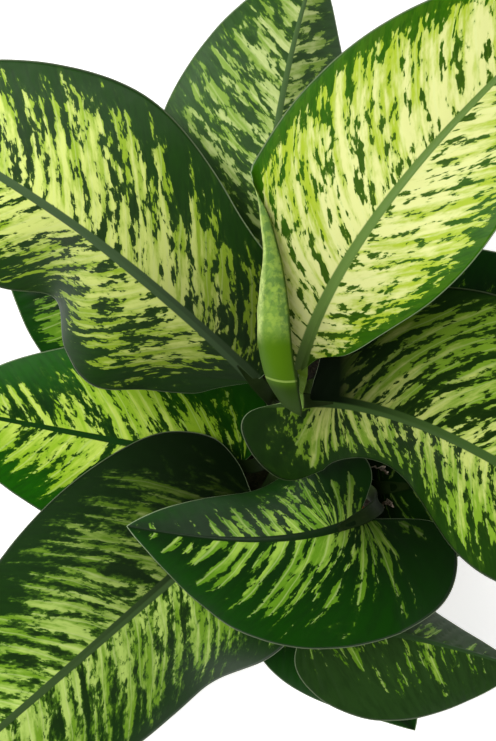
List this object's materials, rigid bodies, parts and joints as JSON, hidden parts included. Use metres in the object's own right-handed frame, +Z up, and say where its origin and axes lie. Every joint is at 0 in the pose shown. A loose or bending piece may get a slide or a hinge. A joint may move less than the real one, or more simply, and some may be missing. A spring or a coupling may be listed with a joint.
{
  "type": "potted dieffenbachia",
  "caption": "Potted dumb cane houseplant: upright canes in a clay pot carry broad waved leaves with cream and green streaks on clasping petioles.",
  "frame": {"origin": "middle of the pot's flat underside", "axes": "+Z up out of the pot; +X to the right and +Y to the top of the picture, which looks straight down"},
  "size_m": [0.5692, 0.6163, 0.5331],
  "materials": {
    "clay": "matte",
    "soil": "matte",
    "cane": "satin",
    "leaf_young": "satin",
    "leaf_variegated": "satin",
    "leaf_deep": "satin"
  },
  "bodies": {
    "root": {"pot": "clay", "soil": "soil", "cane_1": "cane", "cane_2": "cane", "leaf_a": "leaf_young", "leaf_b": "leaf_variegated", "leaf_c": "leaf_variegated", "leaf_d": "leaf_variegated", "leaf_e": "leaf_variegated", "leaf_f": "leaf_variegated", "leaf_g": "leaf_deep", "leaf_h": "leaf_deep", "leaf_i": "leaf_deep", "leaf_j": "leaf_deep", "leaf_k": "leaf_deep", "leaf_l": "leaf_deep"}
  },
  "joints": []
}
